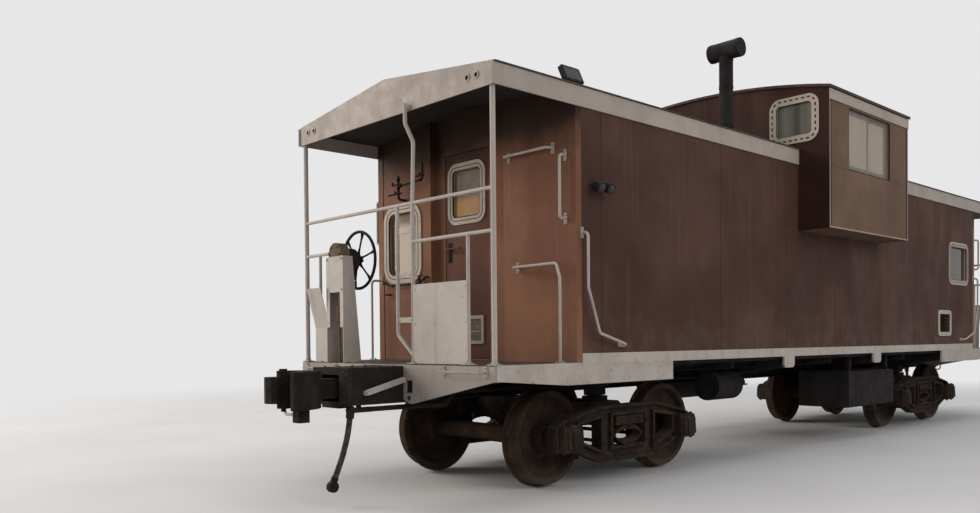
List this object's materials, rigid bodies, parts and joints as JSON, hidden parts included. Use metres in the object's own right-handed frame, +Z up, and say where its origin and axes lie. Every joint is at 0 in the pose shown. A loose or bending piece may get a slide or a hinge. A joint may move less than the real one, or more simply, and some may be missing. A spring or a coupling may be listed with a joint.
{
  "type": "wide-vision cupola caboose",
  "caption": "Steel railway caboose with a cupola that reaches past the body sides, open end platforms and two four-wheel trucks.",
  "frame": {"origin": "centre of the car in plan, at the lowest point of the wheel flanges, 25 mm under the rail top", "axes": "+Y along the car, with the end shown nearest in the picture towards -Y; +X to the side shown in the picture; +Z up"},
  "size_m": [3.49, 13.1174, 4.595],
  "materials": {
    "red_paint": "weathered semi-gloss",
    "faded_red_paint": "weathered satin",
    "roof_paint": "weathered matt",
    "white_paint": "worn satin",
    "deck_paint": "worn matt",
    "black_paint": "weathered satin",
    "rusty_cast_steel": "rusty and greasy",
    "spring_steel": "rusty",
    "wheel_steel": "rusty, treads bright",
    "hose_rubber": "matt",
    "window_glass": "dusty"
  },
  "bodies": {
    "car": {"air_tanks": "black_paint", "angle_cocks": "black_paint", "brake_gear_cases": "black_paint", "brake_hose_front": "hose_rubber", "brake_hose_rear": "hose_rubber", "brake_stands": "white_paint", "cabin_floor": "black_paint", "couplers": "rusty_cast_steel", "cupola_end_front": "red_paint", "cupola_end_rear": "red_paint", "cupola_roof": "roof_paint", "cupola_side_left": "faded_red_paint", "cupola_side_right": "faded_red_paint", "draft_housings": "black_paint", "end_platforms": "deck_paint", "end_sills": "white_paint", "end_wall_front": "red_paint", "end_wall_rear": "red_paint", "equipment_box": "black_paint", "fascias": "white_paint", "glad_hand_front": "rusty_cast_steel", "glad_hand_rear": "rusty_cast_steel", "grab_irons": "white_paint", "kick_panels": "white_paint", "knuckles": "rusty_cast_steel", "lamps": "black_paint", "railings": "white_paint", "roof_front": "roof_paint", "roof_rear": "roof_paint", "side_sills": "white_paint", "side_wall_left": "red_paint", "side_wall_right": "red_paint", "smokestack": "black_paint", "uncoupling_levers": "black_paint", "underframe": "black_paint", "vent_louvres": "black_paint", "whistle_pipes": "black_paint", "window_frames": "white_paint", "window_glass": "window_glass"},
    "truck_front": {"truck_frame_front": "rusty_cast_steel", "truck_bolster_front": "rusty_cast_steel", "truck_springs_front": "spring_steel", "brake_beams_front": "rusty_cast_steel"},
    "door_leaf_front": {"door_front": "red_paint", "door_trim_front": "white_paint", "door_glass_front": "window_glass"},
    "hand_wheel_front": {"brake_wheel_front": "rusty_cast_steel"},
    "truck_rear": {"truck_frame_rear": "rusty_cast_steel", "truck_bolster_rear": "rusty_cast_steel", "truck_springs_rear": "spring_steel", "brake_beams_rear": "rusty_cast_steel"},
    "door_leaf_rear": {"door_rear": "red_paint", "door_trim_rear": "white_paint", "door_glass_rear": "window_glass"},
    "hand_wheel_rear": {"brake_wheel_rear": "rusty_cast_steel"},
    "axle_1": {"wheelset_1": "wheel_steel"},
    "axle_2": {"wheelset_2": "wheel_steel"},
    "axle_3": {"wheelset_3": "wheel_steel"},
    "axle_4": {"wheelset_4": "wheel_steel"}
  },
  "joints": [
    {"name": "truck_swivel_front", "type": "hinge", "parent": "car", "child": "truck_front", "pos_m": [0, -3.495, 0.715], "axis": [0, 0, 1], "range_deg": [-5, 5]},
    {"name": "door_hinge_front", "type": "hinge", "parent": "car", "child": "door_leaf_front", "pos_m": [0.228, -4.422, 1.2], "axis": [0, 0, -1], "range_deg": [0, 90]},
    {"name": "hand_wheel_spin_front", "type": "hinge", "parent": "car", "child": "hand_wheel_front", "pos_m": [-0.76, -5.235, 2.065], "axis": [0, -1, 0], "continuous": true},
    {"name": "truck_swivel_rear", "type": "hinge", "parent": "car", "child": "truck_rear", "pos_m": [0, 3.495, 0.715], "axis": [0, 0, 1], "range_deg": [-5, 5]},
    {"name": "door_hinge_rear", "type": "hinge", "parent": "car", "child": "door_leaf_rear", "pos_m": [-0.228, 4.422, 1.2], "axis": [0, 0, -1], "range_deg": [0, 90]},
    {"name": "hand_wheel_spin_rear", "type": "hinge", "parent": "car", "child": "hand_wheel_rear", "pos_m": [0.76, 5.235, 2.065], "axis": [0, 1, 0], "continuous": true},
    {"name": "axle_spin_1", "type": "hinge", "parent": "truck_front", "child": "axle_1", "pos_m": [0, -4.335, 0.444], "axis": [1, 0, 0], "continuous": true},
    {"name": "axle_spin_2", "type": "hinge", "parent": "truck_front", "child": "axle_2", "pos_m": [0, -2.655, 0.444], "axis": [1, 0, 0], "continuous": true},
    {"name": "axle_spin_3", "type": "hinge", "parent": "truck_rear", "child": "axle_3", "pos_m": [0, 2.655, 0.444], "axis": [1, 0, 0], "continuous": true},
    {"name": "axle_spin_4", "type": "hinge", "parent": "truck_rear", "child": "axle_4", "pos_m": [0, 4.335, 0.444], "axis": [1, 0, 0], "continuous": true}
  ]
}
